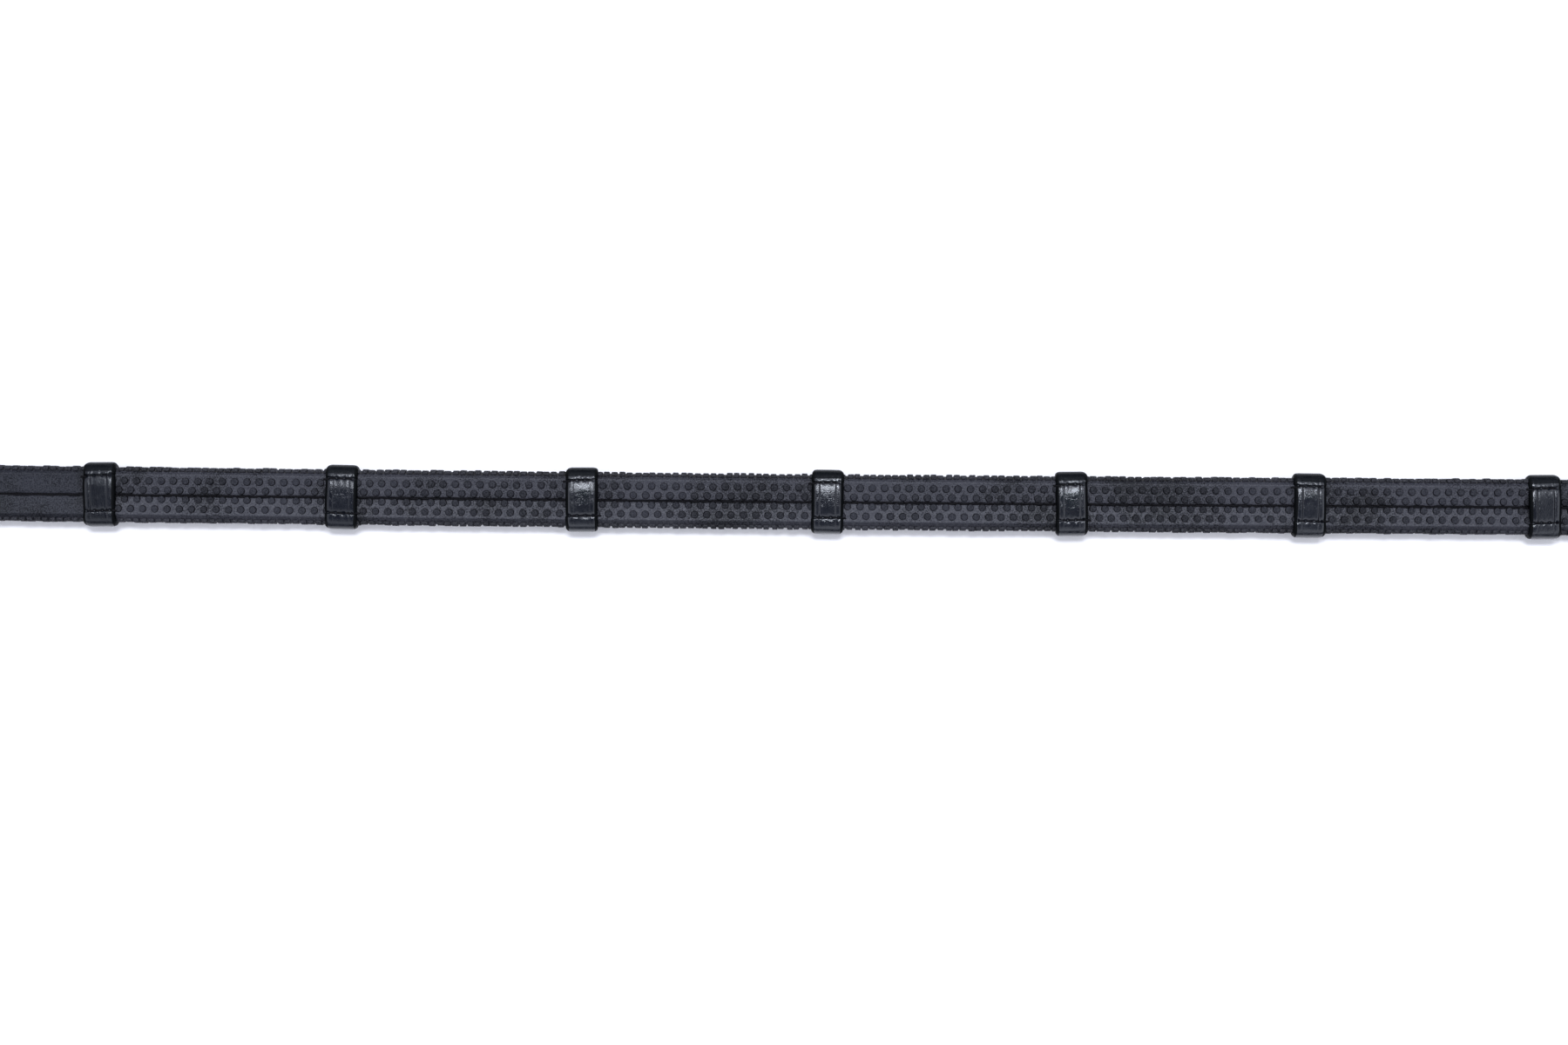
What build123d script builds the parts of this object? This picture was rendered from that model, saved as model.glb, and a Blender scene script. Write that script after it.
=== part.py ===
"""One rubber-covered riding rein with leather hand stops, lying flat with its leather ends folded up for storage.

Frame: +X runs along the rein from the bit end to the hand end, +Z is up, and the
origin is on the floor under the middle of the rubber grip. Millimetres throughout.
"""

from build123d import *
import math
import os

os.makedirs("parts", exist_ok=True)

# ------------------------------------------------------------- driving dimensions
STRAP_W = 16.0  # leather strap, 5/8 inch
STRAP_T = 3.0
GRIP_HALF = 297.0  # half the length of the rubber cover
GRIP_W = 19.0
GRIP_T = 5.6
CORE_HALF = 272.0  # the core ends where the leather straps enter the cover
STOP_L = 10.5  # hand stop, along the rein
STOP_W = 21.3  # hand stop, across the rein
STOP_T = 8.0
STOP_X = [-229.3, -148.3, -67.8, 14.5, 96.3, 176.0, 254.7]
STOP_STITCH_Y = 6.1
MID_Z = STOP_T / 2  # middle plane of the grip: it lies on its hand stops
SEAM_W = 0.9
SEAM_D = 0.5
RIB_BAND_Y = 7.9  # groove between the cover's face and its ribbed edge

# bit end
EYE_R = 5.0  # inside radius of the loop that holds the bit ring
EYE_X = -335.0
L2_Z = 6.0  # strap that lies on top of itself
BILLET_Z = L2_Z + STRAP_T + 0.2
BILLET_TIP_X = -416.0
STUD_X = -379.0
KEEPER_L = 8.0
KEEPER_T = 1.3
BIT_FIXED_X = -357.5
BIT_RUN_X = -403.0
RUN_CLEAR = 0.3

# hand end
BAR_X = 524.0
BAR_Z = 4.7
BAR_R = 1.5
BAR_RUN = 0.08  # radial clearance on the bar
FRAME_IN_W = 17.0
FRAME_WIRE = 3.4
FRAME_LEN = 22.0  # bar centre to far rail centre
TURN_Z = 2.8  # leather turned back under the strap
MAIN_Z = 6.0
TURN_END_X = BAR_X - 50.0
BUCKLE_FIXED_X = BAR_X - 22.0
BUCKLE_RUN_X = BAR_X - 37.0
MATE_GAP = 4.4  # room in the keepers for the other rein's tip

# ties round the folded ends
TIE_L = 6.0
TIE_T = 0.8
BIT_TIE_X = -446.0
HAND_TIE_X = 373.0

# ------------------------------------------------------------- strap routes (x, z)
BIT_ROUTE = [
    (-273.5, 4.0),
    (-308.5, 4.0),
    (-330.0, 1.5),
    (-432.0, 1.5),
    (-445.5, 2.6),
    (-468.5, 2.7),
    (-482.5, 4.2),
    (-487.5, 12.3),
    (-478.5, 18.0),
    (-465.5, 14.0),
    (-453.5, L2_Z),
    (EYE_X, L2_Z),
]
HAND_ROUTE = [
    (273.5, 4.0),
    (308.5, 4.0),
    (330.0, 1.5),
    (353.0, 1.7),
    (366.0, 2.6),
    (408.0, 2.7),
    (419.5, 4.2),
    (424.5, 12.3),
    (415.5, 18.0),
    (402.5, 14.0),
    (390.5, 6.0),
    (352.0, 5.9),
    (338.0, 8.0),
    (333.0, 16.0),
    (342.0, 22.0),
    (355.0, 17.5),
    (366.0, 9.3),
    (388.0, 9.4),
    (402.0, 18.6),
    (420.0, 23.4),
    (438.0, 19.6),
    (452.0, 8.4),
    (468.0, MAIN_Z),
    (BAR_X - 13.0, MAIN_Z),
    (BAR_X - 4.0, BAR_Z + BAR_R + BAR_RUN + STRAP_T / 2),
    (BAR_X, BAR_Z + BAR_R + BAR_RUN + STRAP_T / 2),
]


def route_radii(points):
    """Bend radius at each inner point: as large as its two runs allow."""
    radii = []
    for a, b, c in zip(points, points[1:], points[2:]):
        run_in, run_out = math.dist(a, b), math.dist(b, c)
        turn = abs(
            math.remainder(
                math.atan2(c[1] - b[1], c[0] - b[0])
                - math.atan2(b[1] - a[1], b[0] - a[0]),
                2 * math.pi,
            )
        )
        radii.append(0.45 * min(run_in, run_out) / math.tan(turn / 2))
    return radii


bit_radii = route_radii(BIT_ROUTE)
hand_radii = route_radii(HAND_ROUTE)
print("bit end bend radii", [round(r, 1) for r in bit_radii])
print("hand end bend radii", [round(r, 1) for r in hand_radii])

# ============================================================= the rubber grip
with BuildPart() as grip_core:
    with BuildSketch(Plane.YZ.offset(-CORE_HALF)):
        with Locations((0, MID_Z)):
            Rectangle(STRAP_W, STRAP_T)
    extrude(amount=2 * CORE_HALF)
grip_core.part.label = "grip_core"
export_step(grip_core.part, "parts/grip_core.step")

with BuildPart() as rubber_grip_cover:
    with BuildSketch(Plane.YZ.offset(-GRIP_HALF)):
        with Locations((0, MID_Z)):
            RectangleRounded(GRIP_W, GRIP_T, 1.2)
            Rectangle(STRAP_W, STRAP_T, mode=Mode.SUBTRACT)
        # seam groove and the two lines that set off the ribbed edges, both faces
        with Locations(
            (0, MID_Z + GRIP_T / 2 - SEAM_D / 2), (0, MID_Z - GRIP_T / 2 + SEAM_D / 2)
        ):
            Rectangle(SEAM_W, SEAM_D, mode=Mode.SUBTRACT)
        with Locations(
            (RIB_BAND_Y, MID_Z + GRIP_T / 2 - 0.2),
            (-RIB_BAND_Y, MID_Z + GRIP_T / 2 - 0.2),
            (RIB_BAND_Y, MID_Z - GRIP_T / 2 + 0.2),
            (-RIB_BAND_Y, MID_Z - GRIP_T / 2 + 0.2),
        ):
            Rectangle(0.5, 0.4, mode=Mode.SUBTRACT)
    extrude(amount=2 * GRIP_HALF)
rubber_grip_cover.part.label = "rubber_grip_cover"
export_step(rubber_grip_cover.part, "parts/rubber_grip_cover.step")

with BuildPart() as centre_seam_thread:
    with BuildSketch(Plane.YZ.offset(-GRIP_HALF + 1)):
        with Locations(
            (0, MID_Z + GRIP_T / 2 - SEAM_D + 0.2), (0, MID_Z - GRIP_T / 2 + SEAM_D - 0.2)
        ):
            Rectangle(0.6, 0.4)
    extrude(amount=2 * GRIP_HALF - 2)
centre_seam_thread.part.label = "centre_seam_thread"
export_step(centre_seam_thread.part, "parts/centre_seam_thread.step")

# ============================================================= leather hand stops
for number, stop_x in enumerate(STOP_X, 1):
    with BuildPart() as hand_stop:
        with BuildSketch(Plane.YZ.offset(stop_x - STOP_L / 2)):
            with Locations((0, MID_Z)):
                RectangleRounded(STOP_W, STOP_T, 2.2)
                RectangleRounded(GRIP_W, GRIP_T, 1.2, mode=Mode.SUBTRACT)
        extrude(amount=STOP_L)
        for end in (0, -1):
            rim = hand_stop.faces().sort_by(Axis.X)[end]
            chamfer(rim.outer_wire().edges(), length=0.4)
    hand_stop.part.label = f"hand_stop_{number}"
    export_step(hand_stop.part, f"parts/hand_stop_{number}.step")

with BuildPart() as stop_stitches:
    with BuildSketch(Plane.XY.offset(STOP_T)):
        with Locations(
            *[
                (x + dx, y)
                for x in STOP_X
                for dx in (-3.0, 0.0, 3.0)
                for y in (STOP_STITCH_Y, -STOP_STITCH_Y)
            ]
        ):
            SlotOverall(2.4, 0.7)
    extrude(amount=0.3)
stop_stitches.part.label = "stop_stitches"
export_step(stop_stitches.part, "parts/stop_stitches.step")

# ============================================================= bit end strap
RISE = math.radians(35)  # slope at which the billet comes down off the eye
R_EYE_MID = EYE_R + STRAP_T / 2
eye_z = L2_Z + R_EYE_MID
eye_end = (EYE_X - R_EYE_MID * math.sin(RISE), eye_z + R_EYE_MID * math.cos(RISE))
meet_x = eye_end[0] - (eye_end[1] - BILLET_Z) / math.tan(RISE)

with BuildPart() as bit_end_strap:
    with BuildSketch(Plane.XZ.offset(-STRAP_W / 2)):
        with BuildLine() as bit_line:
            FilletPolyline(*BIT_ROUTE, radius=bit_radii)
            JernArc(start=(EYE_X, L2_Z), tangent=(1, 0), radius=R_EYE_MID, arc_size=215)
            FilletPolyline(
                eye_end, (meet_x, BILLET_Z), (BILLET_TIP_X, BILLET_Z), radius=8.0
            )
            bit_length = sum(e.length for e in bit_line.edges())
            offset(amount=STRAP_T / 2, side=Side.BOTH, kind=Kind.ARC)
        make_face()
    extrude(amount=STRAP_W)
    # the billet's tip is cut to a point
    with BuildSketch(Plane.XY.offset(BILLET_Z - STRAP_T / 2 - 0.01)):
        with BuildLine():
            Polyline(
                (BILLET_TIP_X - 2, 3.0),
                (BILLET_TIP_X + 10, 8.5),
                (BILLET_TIP_X - 2, 8.5),
                close=True,
            )
        make_face()
        mirror(about=Plane.XZ)
    extrude(amount=STRAP_T + 0.02, mode=Mode.SUBTRACT)
    # hook slot in the billet, and the stud's hole in the strap below
    with BuildSketch(Plane.XY.offset(BILLET_Z - STRAP_T / 2 - 0.1)):
        with Locations((STUD_X, 0)):
            SlotOverall(10.0, 4.4)
    extrude(amount=STRAP_T + 0.5, mode=Mode.SUBTRACT)
    with BuildSketch(Plane.XY.offset(L2_Z - STRAP_T / 2 - 0.1)):
        with Locations((STUD_X, 0)):
            Circle(1.5)
    extrude(amount=STRAP_T + 0.2, mode=Mode.SUBTRACT)
bit_end_strap.part.label = "bit_end_strap"
export_step(bit_end_strap.part, "parts/bit_end_strap.step")

with BuildPart() as hook_stud:
    # shank through the strap, neck through the billet's slot, and the hook over it
    with BuildSketch(Plane.XY.offset(L2_Z - STRAP_T / 2)):
        with Locations((STUD_X, 0)):
            Circle(1.5)
    extrude(amount=BILLET_Z + STRAP_T / 2 + 0.6 - (L2_Z - STRAP_T / 2))
    with BuildSketch(Plane.XZ.offset(-2.4)):
        with BuildLine():
            hook_z = BILLET_Z + STRAP_T / 2 + 0.25
            Polyline(
                (STUD_X - 4.2, hook_z),
                (STUD_X + 2.4, hook_z),
                (STUD_X + 2.4, hook_z + 0.8),
                (STUD_X + 0.5, hook_z + 1.7),
                (STUD_X - 4.2, hook_z + 1.0),
                close=True,
            )
        make_face()
    extrude(amount=4.8)
    fillet(hook_stud.edges().filter_by(Axis.Z).group_by(Axis.X)[0], radius=1.4)
hook_stud.part.label = "hook_stud"
export_step(hook_stud.part, "parts/hook_stud.step")

with BuildPart() as stud_back_plate:
    with BuildSketch(Plane.XY.offset(L2_Z - STRAP_T / 2 - 1.0)):
        with Locations((STUD_X, 0)):
            Circle(3.6)
    extrude(amount=1.0)
    chamfer(stud_back_plate.edges().group_by(Axis.Z)[0], length=0.4)
stud_back_plate.part.label = "stud_back_plate"
export_step(stud_back_plate.part, "parts/stud_back_plate.step")


def keeper_sizes(low, high, clear):
    """Inside and outside (width, height, middle height) of a leather loop."""
    inner_w, inner_h = STRAP_W + 2 * clear, high - low + 2 * clear
    return inner_w, inner_h, (low + high) / 2


with BuildPart() as bit_fixed_keeper:
    in_w, in_h, mid = keeper_sizes(L2_Z - STRAP_T / 2, BILLET_Z + STRAP_T / 2, 0.0)
    with BuildSketch(Plane.YZ.offset(BIT_FIXED_X - KEEPER_L / 2)):
        with Locations((0, mid)):
            RectangleRounded(in_w + 2 * KEEPER_T, in_h + 2 * KEEPER_T, 1.6)
            Rectangle(in_w, in_h, mode=Mode.SUBTRACT)
    extrude(amount=KEEPER_L)
bit_fixed_keeper.part.label = "bit_fixed_keeper"
export_step(bit_fixed_keeper.part, "parts/bit_fixed_keeper.step")

with BuildPart() as bit_running_keeper:
    in_w, in_h, mid = keeper_sizes(
        L2_Z - STRAP_T / 2, BILLET_Z + STRAP_T / 2, RUN_CLEAR / 2
    )
    with BuildSketch(Plane.YZ.offset(BIT_RUN_X - KEEPER_L / 2)):
        with Locations((0, mid)):
            RectangleRounded(in_w + 2 * KEEPER_T, in_h + 2 * (KEEPER_T - 0.15), 1.6)
            Rectangle(in_w, in_h, mode=Mode.SUBTRACT)
    extrude(amount=KEEPER_L)
bit_running_keeper.part.label = "bit_running_keeper"
export_step(bit_running_keeper.part, "parts/bit_running_keeper.step")

with BuildPart() as bit_keeper_stitches:
    with BuildSketch(Plane.XY.offset(BILLET_Z + STRAP_T / 2 + KEEPER_T)):
        with Locations(
            *[(BIT_FIXED_X + dx, y) for dx in (-2.9, 2.9) for y in (-5.4, -1.8, 1.8, 5.4)]
        ):
            SlotOverall(2.4, 0.7, rotation=90)
    extrude(amount=0.3)
bit_keeper_stitches.part.label = "bit_keeper_stitches"
export_step(bit_keeper_stitches.part, "parts/bit_keeper_stitches.step")

# ============================================================= hand end strap
LOOP_R = BAR_R + BAR_RUN + STRAP_T / 2
TURN_ROUTE = [
    (BAR_X, BAR_Z - LOOP_R),
    (BAR_X - 5.0, BAR_Z - LOOP_R),
    (BAR_X - 13.0, TURN_Z),
    (TURN_END_X, TURN_Z),
]
with BuildPart() as hand_end_strap:
    with BuildSketch(Plane.XZ.offset(-STRAP_W / 2)):
        with BuildLine() as hand_line:
            FilletPolyline(*HAND_ROUTE, radius=hand_radii)
            hand_length = sum(e.length for e in hand_line.edges())
            JernArc(
                start=HAND_ROUTE[-1], tangent=(1, 0), radius=LOOP_R, arc_size=-180
            )
            FilletPolyline(*TURN_ROUTE, radius=route_radii(TURN_ROUTE))
            offset(amount=STRAP_T / 2, side=Side.BOTH, kind=Kind.ARC)
        make_face()
    extrude(amount=STRAP_W)
    # slot for the buckle's tongue, through both layers and round the bar
    with BuildSketch(Plane.XY.offset(-1.0)):
        with Locations((BAR_X - 2.0, 0)):
            SlotOverall(16.0, 4.4)
    extrude(amount=14.0, mode=Mode.SUBTRACT)
hand_end_strap.part.label = "hand_end_strap"
export_step(hand_end_strap.part, "parts/hand_end_strap.step")

# buckle, made in the plane in which it lies: its far rail rests on the floor
TILT = math.asin((BAR_Z - FRAME_WIRE / 2) / FRAME_LEN)
lie = Plane(
    origin=(BAR_X, 0, BAR_Z),
    x_dir=(math.cos(TILT), 0, -math.sin(TILT)),
    z_dir=(math.sin(TILT), 0, math.cos(TILT)),
)
side = Plane(origin=(BAR_X, 0, BAR_Z), x_dir=lie.x_dir, z_dir=(0, -1, 0))
rail_y = FRAME_IN_W / 2 + FRAME_WIRE / 2
with BuildPart() as buckle_frame:
    # one bent wire: two side rails and the far rail
    with BuildLine(lie) as wire:
        FilletPolyline(
            (-2.2, rail_y),
            (FRAME_LEN, rail_y),
            (FRAME_LEN, -rail_y),
            (-2.2, -rail_y),
            radius=3.4,
        )
    with BuildSketch(Plane(origin=wire.line @ 0, z_dir=wire.line % 0)):
        Circle(FRAME_WIRE / 2)
    sweep()
    # the bar that the leather and the tongue turn on
    with BuildSketch(side.offset(-rail_y)):
        Circle(BAR_R)
    extrude(amount=2 * rail_y)
buckle_frame.part.label = "buckle_frame"
export_step(buckle_frame.part, "parts/buckle_frame.step")

with BuildPart() as buckle_tongue:
    top = FRAME_WIRE / 2 + 0.05
    with BuildSketch(side.offset(-1.5)):
        Circle(3.0)
        with BuildLine():
            Polyline(
                (0.0, 3.0),
                (3.4, 3.0),
                (FRAME_LEN + 0.6, top + 1.5),
                (FRAME_LEN + 2.4, top + 0.9),
                (FRAME_LEN + 2.4, top + 0.2),
                (FRAME_LEN + 1.8, top),
                (FRAME_LEN - FRAME_WIRE / 2 - 1.5, top),
                (3.6, 0.4),
                (2.0, 0.0),
                (0.0, 2.0),
                close=True,
            )
        make_face()
        Circle(BAR_R + BAR_RUN, mode=Mode.SUBTRACT)
    extrude(amount=3.0)
buckle_tongue.part.label = "buckle_tongue"
export_step(buckle_tongue.part, "parts/buckle_tongue.step")

# keepers of the buckle: they also hold the tip of the other rein above the strap
KEEP_LOW = TURN_Z - STRAP_T / 2
KEEP_HIGH = MAIN_Z + STRAP_T / 2 + MATE_GAP
with BuildPart() as buckle_fixed_keeper:
    in_w, in_h, mid = keeper_sizes(KEEP_LOW, KEEP_HIGH, 0.0)
    with BuildSketch(Plane.YZ.offset(BUCKLE_FIXED_X - KEEPER_L / 2)):
        with Locations((0, mid)):
            RectangleRounded(in_w + 2 * KEEPER_T, in_h + 2 * KEEPER_T, 2.0)
            RectangleRounded(in_w, in_h, 0.7, mode=Mode.SUBTRACT)
        with Locations((0, KEEP_LOW + 1.0)):
            Rectangle(in_w, 2.0, mode=Mode.SUBTRACT)
    extrude(amount=KEEPER_L)
buckle_fixed_keeper.part.label = "buckle_fixed_keeper"
export_step(buckle_fixed_keeper.part, "parts/buckle_fixed_keeper.step")

with BuildPart() as buckle_running_keeper:
    in_w, in_h, mid = keeper_sizes(KEEP_LOW, KEEP_HIGH, RUN_CLEAR / 2)
    with BuildSketch(Plane.YZ.offset(BUCKLE_RUN_X - KEEPER_L / 2)):
        with Locations((0, mid)):
            RectangleRounded(in_w + 2 * KEEPER_T, in_h + 2 * (KEEPER_T - 0.15), 2.0)
            Rectangle(in_w, in_h, mode=Mode.SUBTRACT)
    extrude(amount=KEEPER_L)
buckle_running_keeper.part.label = "buckle_running_keeper"
export_step(buckle_running_keeper.part, "parts/buckle_running_keeper.step")

with BuildPart() as turnback_stitches:
    # two short rows across the strap, beyond the running keeper
    with BuildSketch(Plane.XY.offset(MAIN_Z + STRAP_T / 2)):
        with Locations(
            *[
                (x, y)
                for x in (TURN_END_X + 2.6,)
                for y in (-5.4, -1.8, 1.8, 5.4)
            ]
        ):
            SlotOverall(2.4, 0.7, rotation=90)
    extrude(amount=0.12)
turnback_stitches.part.label = "turnback_stitches"
export_step(turnback_stitches.part, "parts/turnback_stitches.step")

# ============================================================= ties round the folds
with BuildPart() as bit_hank_tie:
    tie_top = L2_Z + STRAP_T / 2 + 0.3
    with BuildSketch(Plane.YZ.offset(BIT_TIE_X - TIE_L / 2)):
        with Locations((0, (tie_top + 2 * TIE_T) / 2)):
            RectangleRounded(STRAP_W + 0.8 + 2 * TIE_T, tie_top + 2 * TIE_T, 1.0)
            Rectangle(STRAP_W + 0.8, tie_top, mode=Mode.SUBTRACT)
    extrude(amount=TIE_L)
bit_hank_tie.part.label = "bit_hank_tie"
export_step(bit_hank_tie.part, "parts/bit_hank_tie.step")

with BuildPart() as hand_hank_tie:
    tie_top = 9.4 + STRAP_T / 2 + 0.1
    with BuildSketch(Plane.YZ.offset(HAND_TIE_X - TIE_L / 2)):
        with Locations((0, (tie_top + 2 * TIE_T) / 2)):
            RectangleRounded(STRAP_W + 0.8 + 2 * TIE_T, tie_top + 2 * TIE_T, 1.0)
            Rectangle(STRAP_W + 0.8, tie_top, mode=Mode.SUBTRACT)
    extrude(amount=TIE_L)
hand_hank_tie.part.label = "hand_hank_tie"
export_step(hand_hank_tie.part, "parts/hand_hank_tie.step")

for name, piece, length in (
    ("bit end strap", bit_end_strap, bit_length),
    ("hand end strap to the bar", hand_end_strap, hand_length),
):
    print(name, "length", round(length, 1), "volume", round(piece.part.volume))
print("rein length, eye to bar", round(2 * 273.5 + hand_length + bit_length - (EYE_X - BILLET_TIP_X) - 20, 1))
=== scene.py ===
"""Looks of the rubber-covered rein: camera, leather ends, rubber cover, hand stops, hardware, materials."""

import math
import random

import bpy
import numpy as np
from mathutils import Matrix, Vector


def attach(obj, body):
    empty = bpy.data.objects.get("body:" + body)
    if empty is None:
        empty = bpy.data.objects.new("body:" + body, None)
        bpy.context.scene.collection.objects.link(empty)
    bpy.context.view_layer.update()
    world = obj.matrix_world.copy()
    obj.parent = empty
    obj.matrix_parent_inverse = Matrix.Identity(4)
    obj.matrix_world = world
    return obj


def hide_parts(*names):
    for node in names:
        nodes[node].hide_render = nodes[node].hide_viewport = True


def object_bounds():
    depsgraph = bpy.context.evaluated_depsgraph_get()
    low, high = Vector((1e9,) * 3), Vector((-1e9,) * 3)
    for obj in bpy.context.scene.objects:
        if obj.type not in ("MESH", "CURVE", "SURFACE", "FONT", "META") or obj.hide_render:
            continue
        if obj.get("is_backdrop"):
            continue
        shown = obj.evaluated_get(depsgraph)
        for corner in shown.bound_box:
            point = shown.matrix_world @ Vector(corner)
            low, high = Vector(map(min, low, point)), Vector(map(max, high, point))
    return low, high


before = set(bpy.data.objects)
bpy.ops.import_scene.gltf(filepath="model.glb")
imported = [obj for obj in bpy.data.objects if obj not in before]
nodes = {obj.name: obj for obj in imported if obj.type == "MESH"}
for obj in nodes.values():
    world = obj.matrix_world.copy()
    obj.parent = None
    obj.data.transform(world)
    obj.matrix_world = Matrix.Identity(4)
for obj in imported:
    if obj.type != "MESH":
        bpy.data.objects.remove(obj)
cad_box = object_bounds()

MM = 0.001
rng = random.Random(7)
nrng = np.random.default_rng(7)
scene = bpy.context.scene

# ------------------------------------------------------------------ sizes, in mm
GRIP_HALF = 297.0
MID_Z = 4.0
STOP_X = [-229.3, -148.3, -67.8, 14.5, 96.3, 176.0, 254.7]
STOP_HALF = 5.25
STOP_CREASE = [0.16, 0.08, 0.06, 0.15, 0.13, 0.22, 0.24]  # mm deep
STOP_TURN = [0.9, -0.8, 0.5, -0.6, 0.9, -0.5, 0.7]  # degrees, hand sewn
STRAP_HALF_W, STRAP_HALF_T = 8.0, 1.5
BAR_X, BAR_Z = 524.0, 4.7
EYE_X = -335.0
STUD_X = -379.0
BILLET_Z, L2_Z = 9.2, 6.0
SEAM_PITCH, RIB_PITCH, PIMPLE_PITCH = 3.607, 2.546, 4.107


def bow(x):
    """The grip isn't laid quite straight: how far its middle line is off, in mm."""
    x = np.asarray(x, float)
    return np.where(np.abs(x) < GRIP_HALF, -0.5 * (1 - (x / GRIP_HALF) ** 2) ** 1.5, 0.0)


# ------------------------------------------------------------------ camera
VIEW_W = 0.5262  # what the frame spans at the rein's height
CAM_H = 0.70
cam_data = bpy.data.cameras.new("camera")
cam_data.sensor_width = 36.0
cam_data.lens = 36.0 * (CAM_H - 0.005) / VIEW_W
camera = bpy.data.objects.new("camera", cam_data)
scene.collection.objects.link(camera)
camera.location = (0.0, -0.00754, CAM_H)
camera.rotation_euler = (0.0, 0.0, math.radians(0.516))
cam_data.clip_start = 0.01
scene.camera = camera


# ------------------------------------------------------------------ mesh helpers
class Soup:
    """Collects closed shells, in mm, into one mesh."""

    def __init__(self):
        self.verts, self.faces, self.slots, self.count = [], [], [], 0

    def add(self, verts, faces, slot=0):
        verts = np.asarray(verts, float)
        base = self.count
        self.verts.append(verts)
        self.faces += [tuple(int(i) + base for i in f) for f in faces]
        self.slots += [slot] * len(faces)
        self.count += len(verts)

    def rings(self, rings, slot=0, closed_ends=True):
        """A tube through rings of equal length; the ends are closed by fans."""
        r = np.asarray(rings, float)
        n, k = r.shape[:2]
        faces = []
        for i in range(n - 1):
            a, b = i * k, (i + 1) * k
            for j in range(k):
                m = (j + 1) % k
                faces.append((a + j, a + m, b + m, b + j))
        verts = r.reshape(-1, 3)
        if closed_ends:
            first, last = r[0].mean(0), r[-1].mean(0)
            verts = np.vstack([verts, first, last])
            p, q = n * k, n * k + 1
            for j in range(k):
                m = (j + 1) % k
                faces.append((p, m, j))
                faces.append((q, (n - 1) * k + j, (n - 1) * k + m))
        self.add(verts, faces, slot)

    def torus(self, rings, slot=0):
        """A closed loop of rings."""
        r = np.asarray(rings, float)
        n, k = r.shape[:2]
        faces = []
        for i in range(n):
            a, b = i * k, ((i + 1) % n) * k
            for j in range(k):
                m = (j + 1) % k
                faces.append((a + j, a + m, b + m, b + j))
        self.add(r.reshape(-1, 3), faces, slot)

    def build(self, name, materials, body, angle=42.0, bend=False):
        verts = np.vstack(self.verts)
        if bend:
            verts = verts.copy()
            verts[:, 1] += bow(verts[:, 0])
        mesh = bpy.data.meshes.new(name)
        mesh.from_pydata((verts * MM).tolist(), [], self.faces)
        mesh.validate()
        for m in materials:
            mesh.materials.append(m)
        mesh.polygons.foreach_set("use_smooth", [True] * len(mesh.polygons))
        if len(mesh.polygons) == len(self.slots):
            mesh.polygons.foreach_set("material_index", self.slots)
        fix_normals(mesh)
        mesh.set_sharp_from_angle(angle=math.radians(angle))
        mesh.update()
        obj = bpy.data.objects.new(name, mesh)
        scene.collection.objects.link(obj)
        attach(obj, body)
        return obj


def fix_normals(mesh):
    import bmesh

    bm = bmesh.new()
    bm.from_mesh(mesh)
    bmesh.ops.recalc_face_normals(bm, faces=bm.faces)
    bm.to_mesh(mesh)
    bm.free()


def smooth_noise(n, step, seed):
    """n values that wander slowly, from -1 to 1."""
    r = np.random.default_rng(seed)
    knots = r.uniform(-1, 1, max(4, int(n / step) + 4))
    at = np.linspace(0, len(knots) - 1.001, n)
    i = at.astype(int)
    f = at - i
    f = f * f * (3 - 2 * f)
    return knots[i] * (1 - f) + knots[np.minimum(i + 1, len(knots) - 1)] * f


def capsule(p, q, radius, sides=8, dip=0.0, flat=1.0, fat=1.0):
    """Rings of a stitch from p to q whose ends dip down by dip."""
    p, q = np.asarray(p, float), np.asarray(q, float)
    d = q - p
    length = np.linalg.norm(d)
    d = d / length
    side_v = np.cross((0, 0, 1.0), d)
    side_v /= np.linalg.norm(side_v)
    up = np.cross(d, side_v)
    rings = []
    for t, r in (
        (0.0, 0.25),
        (0.06, 0.68),
        (0.18, 0.95),
        (0.36, 1.0),
        (0.64, 1.0),
        (0.82, 0.95),
        (0.94, 0.68),
        (1.0, 0.25),
    ):
        sag = dip * (abs(2 * t - 1) ** 3)
        c = p + d * length * t - up * sag
        ring = []
        for k in range(sides):
            a = 2 * math.pi * k / sides
            ring.append(
                c
                + side_v * math.cos(a) * radius * r * fat
                + up * math.sin(a) * radius * r * flat
            )
        rings.append(ring)
    return rings


def tube_rings(line, radius, sides=10):
    """Rings of a round tube along a line of points."""
    line = np.asarray(line, float)
    t = np.gradient(line, axis=0)
    t /= np.linalg.norm(t, axis=1)[:, None]
    n = np.cross(t[0], (0.3, 0.5, 0.8))
    n /= np.linalg.norm(n)
    rings = []
    for i, c in enumerate(line):
        n = n - t[i] * n.dot(t[i])
        n /= np.linalg.norm(n)
        b = np.cross(t[i], n)
        r = radius[i] if hasattr(radius, "__len__") else radius
        rings.append(
            [
                c + n * math.cos(2 * math.pi * k / sides) * r + b * math.sin(2 * math.pi * k / sides) * r
                for k in range(sides)
            ]
        )
    return rings


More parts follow.
